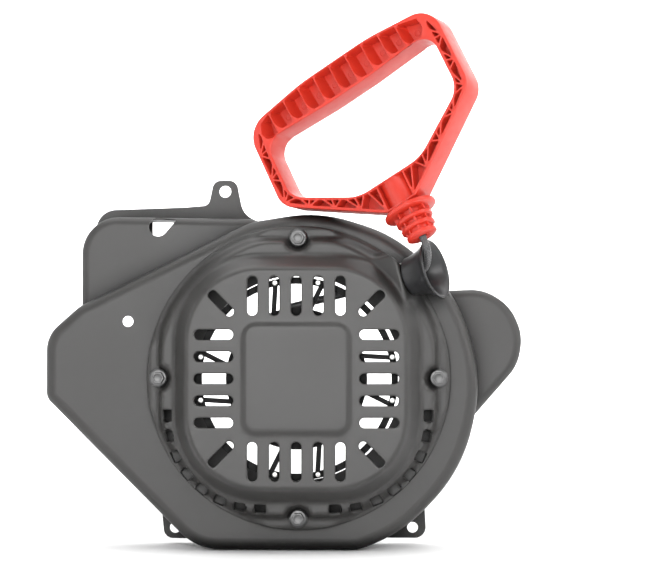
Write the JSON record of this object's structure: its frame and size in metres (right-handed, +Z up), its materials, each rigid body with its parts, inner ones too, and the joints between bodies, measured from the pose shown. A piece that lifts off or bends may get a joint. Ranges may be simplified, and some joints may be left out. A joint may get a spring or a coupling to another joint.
{
  "type": "recoil starter",
  "caption": "Recoil starter on a pressed steel fan housing: slotted dome cover, rope guide, ribbed D-handle and the reel, spring and pawls inside.",
  "frame": {"origin": "on the crankshaft axis, in the plane where the three brackets bolt to the engine", "axes": "+Z up, -Y towards the front face with the slotted cover, +X to the right seen from the front; +Y is the crankshaft axis towards the engine"},
  "size_m": [0.3177, 0.1126, 0.3515],
  "materials": {
    "housing_paint": "satin black powder coat",
    "cover_paint": "satin black powder coat",
    "guard_paint": "black paint, slightly glossy",
    "black_bolt": "black oxide",
    "zinc_steel": "zinc plated",
    "spring_steel": "oiled spring steel",
    "pawl_steel": "hardened steel",
    "reel_plastic": "moulded black nylon",
    "guide_plastic": "moulded black nylon",
    "handle_plastic": "moulded red polypropylene",
    "rope": "braided black polyester"
  },
  "bodies": {
    "housing": {"fan_housing": "housing_paint", "top_bracket": "housing_paint", "lower_left_bracket": "housing_paint", "lower_right_bracket": "housing_paint", "recoil_cover": "cover_paint", "cover_bolts": "black_bolt", "cover_weld_nuts": "zinc_steel", "inner_guard": "guard_paint", "guard_rivets": "zinc_steel", "reel_post": "zinc_steel", "screw_washer": "zinc_steel", "centre_screw": "zinc_steel", "rope_guide_cup": "guide_plastic", "rope_guide_retainer": "zinc_steel", "rope_inner_run": "rope", "rope_lead": "rope"},
    "reel": {"starter_reel": "reel_plastic", "reel_knot": "rope", "rope_winding": "rope", "recoil_spring": "spring_steel", "spring_cover": "zinc_steel"},
    "ratchet": {"ratchet_guide": "zinc_steel", "friction_spring": "spring_steel"},
    "pawl_upper": {"pawl_b": "pawl_steel"},
    "pawl_lower": {"pawl_a": "pawl_steel"},
    "handle": {"pull_handle": "handle_plastic", "knot_washer": "zinc_steel", "handle_knot": "rope"}
  },
  "joints": [
    {"name": "handle_pull", "type": "slide", "parent": "housing", "child": "handle", "axis": [-0.4086, 0.2775, 0.8695], "range_m": [0, 0.75], "stiffness_N_per_m": 8, "springref_m": -0.5},
    {"name": "reel_spin", "type": "hinge", "parent": "housing", "child": "reel", "pos_m": [0, -0.072, 0], "axis": [0, 1, 0], "range_deg": [0, 969.9]},
    {"name": "ratchet_turn", "type": "hinge", "parent": "reel", "child": "ratchet", "pos_m": [0, -0.052, 0], "axis": [0, -1, 0], "range_deg": [0, 30], "stiffness_Nm_per_rad": 0.01},
    {"name": "pawl_lower_swing", "type": "hinge", "parent": "reel", "child": "pawl_lower", "pos_m": [0.027, -0.057, 0], "axis": [0, -1, 0], "range_deg": [0, 25]},
    {"name": "pawl_upper_swing", "type": "hinge", "parent": "reel", "child": "pawl_upper", "pos_m": [-0.027, -0.057, 0], "axis": [0, -1, 0], "range_deg": [0, 25]}
  ],
  "couplings": [
    {"joint": "reel_spin", "follows": "handle_pull", "rad_per_m": 22.5},
    {"joint": "pawl_lower_swing", "follows": "ratchet_turn", "ratio": 0.8},
    {"joint": "pawl_upper_swing", "follows": "ratchet_turn", "ratio": 0.8}
  ]
}
